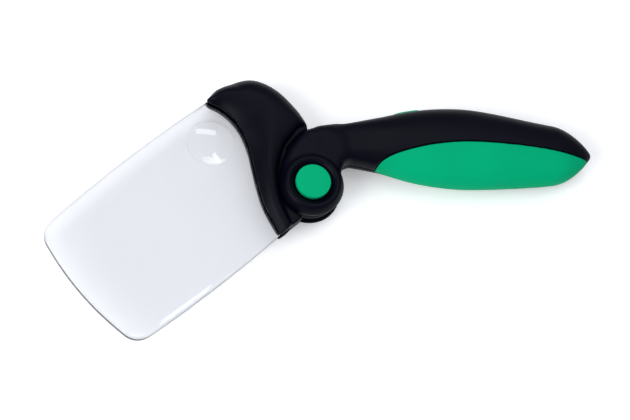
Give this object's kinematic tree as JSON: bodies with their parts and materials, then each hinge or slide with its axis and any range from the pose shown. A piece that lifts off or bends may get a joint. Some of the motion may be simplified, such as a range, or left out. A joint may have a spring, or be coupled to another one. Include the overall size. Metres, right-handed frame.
{
  "type": "folding magnifier",
  "caption": "Hand magnifier with a rimless rectangular bifocal lens in a lit head that folds on a push-release hinge against an oval battery handle with a contrasting grip.",
  "frame": {"origin": "centre of the flat rear hub cap, on the fold axis", "axes": "+X along the handle towards its tip, +Z along the fold axis towards the front of the lens"},
  "size_m": [0.2461, 0.1211, 0.0218],
  "materials": {
    "black_soft_touch": "satin soft-touch",
    "green_rubber": "satin, moulded",
    "green_plastic": "satin",
    "clear_acrylic": "clear, polished",
    "steel": "satin",
    "brass": "satin",
    "nylon": "matte",
    "battery_can": "satin",
    "dark_plastic": "matte",
    "circuit_board": "satin",
    "lamp_epoxy": "polished",
    "red_wire": "satin",
    "black_wire": "satin"
  },
  "bodies": {
    "handle": {"handle_front_shell": "black_soft_touch", "handle_rear_shell": "black_soft_touch", "grip_inlay": "green_rubber", "handle_screw_1": "steel", "handle_screw_2": "steel", "handle_screw_3": "steel", "rear_cap": "black_soft_touch", "pivot_pin": "steel", "washer_front": "nylon", "washer_rear": "nylon", "clutch_spring": "steel", "contact_finger_inner": "brass", "contact_finger_outer": "brass", "battery_1": "battery_can", "battery_2": "battery_can", "battery_spring_1": "steel", "battery_spring_2": "steel", "battery_contact_plate": "steel", "switch_body": "dark_plastic", "circuit_board": "circuit_board", "finger_wire_inner": "black_wire", "finger_wire_outer": "red_wire", "battery_wire": "red_wire"},
    "head": {"lens": "clear_acrylic", "head_front_shell": "black_soft_touch", "head_rear_shell": "black_soft_touch", "head_screw_1": "steel", "head_screw_2": "steel", "head_screw_3": "steel", "pivot_bush": "brass", "contact_ring_inner": "brass", "contact_ring_outer": "brass", "led_board": "circuit_board", "led_1": "lamp_epoxy", "led_2": "lamp_epoxy", "led_window": "clear_acrylic", "led_wire_inner": "black_wire", "led_wire_outer": "red_wire"},
    "release_button": {"release_button": "green_plastic", "clutch_cone": "steel"},
    "light_button": {"light_button": "green_plastic", "switch_plunger": "dark_plastic"},
    "battery_door": {"battery_door": "black_soft_touch", "door_screw": "steel"}
  },
  "joints": [
    {"name": "head_fold", "type": "hinge", "parent": "handle", "child": "head", "pos_m": [0, 0, 0.011], "axis": [0, 0, 1], "range_deg": [0, 132]},
    {"name": "release_press", "type": "slide", "parent": "handle", "child": "release_button", "axis": [0, 0, -1], "range_m": [0, 0.0012], "stiffness_N_per_m": 2000, "springref_m": -0.0012, "deforming": ["clutch_spring"]},
    {"name": "light_press", "type": "slide", "parent": "handle", "child": "light_button", "axis": [0.2079, -0.9781, 0], "range_m": [0, 0.0008], "stiffness_N_per_m": 1500, "springref_m": -0.0008},
    {"name": "battery_door_lift", "type": "slide", "parent": "handle", "child": "battery_door", "axis": [0, 0, -1], "range_m": [0, 0.016]}
  ]
}
